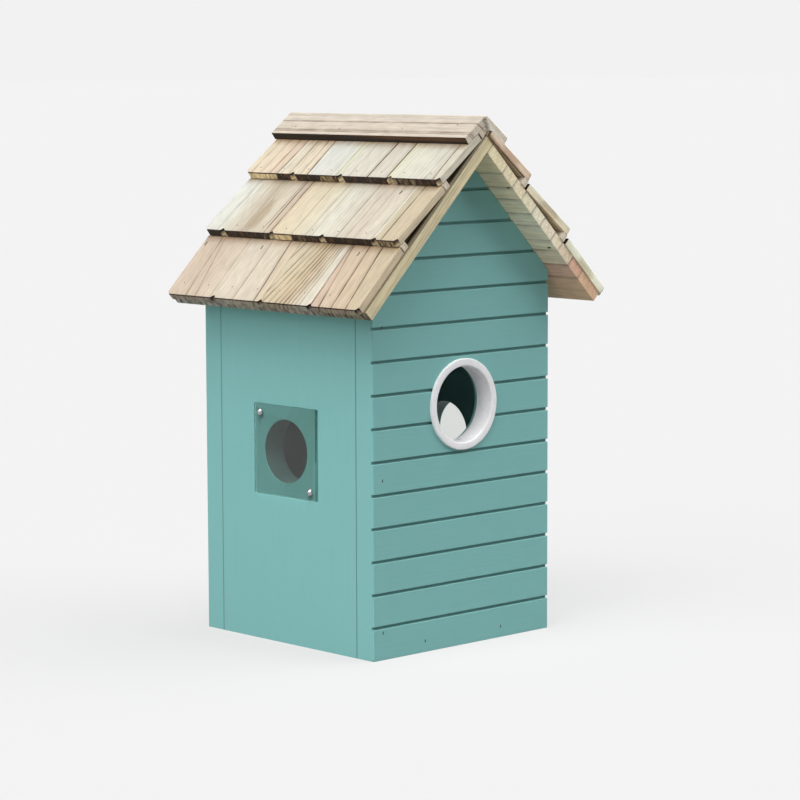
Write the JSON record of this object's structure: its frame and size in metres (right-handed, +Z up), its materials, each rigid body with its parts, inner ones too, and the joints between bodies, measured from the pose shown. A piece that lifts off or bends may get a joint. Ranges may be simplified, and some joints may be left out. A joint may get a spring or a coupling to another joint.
{
  "type": "nest box",
  "caption": "Gable-fronted wooden bird nest box with a grooved painted body, a ringed round entrance, glazed side windows and a lapped shingle roof.",
  "frame": {"origin": "middle of the flat underside of the body", "axes": "+X to the right seen from the front, +Y from the front wall to the back wall, +Z up"},
  "size_m": [0.3366, 0.2855, 0.5193],
  "materials": {
    "teal_paint": "satin paint on softwood",
    "bare_softwood": "sawn, untreated",
    "shingle_wood": "sawn, untreated",
    "white_plastic": "smooth",
    "clear_plate": "clear acrylic",
    "screw_steel": "zinc plated"
  },
  "bodies": {
    "root": {"front_wall": "teal_paint", "back_wall": "teal_paint", "left_side_wall": "teal_paint", "right_side_wall": "teal_paint", "floor": "bare_softwood", "entrance_ring": "white_plastic", "left_window_plate": "clear_plate", "right_window_plate": "clear_plate", "left_window_upper_screw": "screw_steel", "left_window_lower_screw": "screw_steel", "right_window_upper_screw": "screw_steel", "right_window_lower_screw": "screw_steel", "left_roof_panel": "bare_softwood", "right_roof_panel": "bare_softwood", "right_eave_board": "bare_softwood", "left_lower_batten": "bare_softwood", "left_upper_batten": "bare_softwood", "right_lower_batten": "bare_softwood", "right_upper_batten": "bare_softwood", "left_bottom_course": "shingle_wood", "left_middle_course": "shingle_wood", "left_top_course": "shingle_wood", "right_bottom_course": "shingle_wood", "right_middle_course": "shingle_wood", "right_top_course": "shingle_wood", "ridge_strip": "bare_softwood", "left_cap_board": "shingle_wood", "right_cap_board": "shingle_wood"}
  },
  "joints": []
}
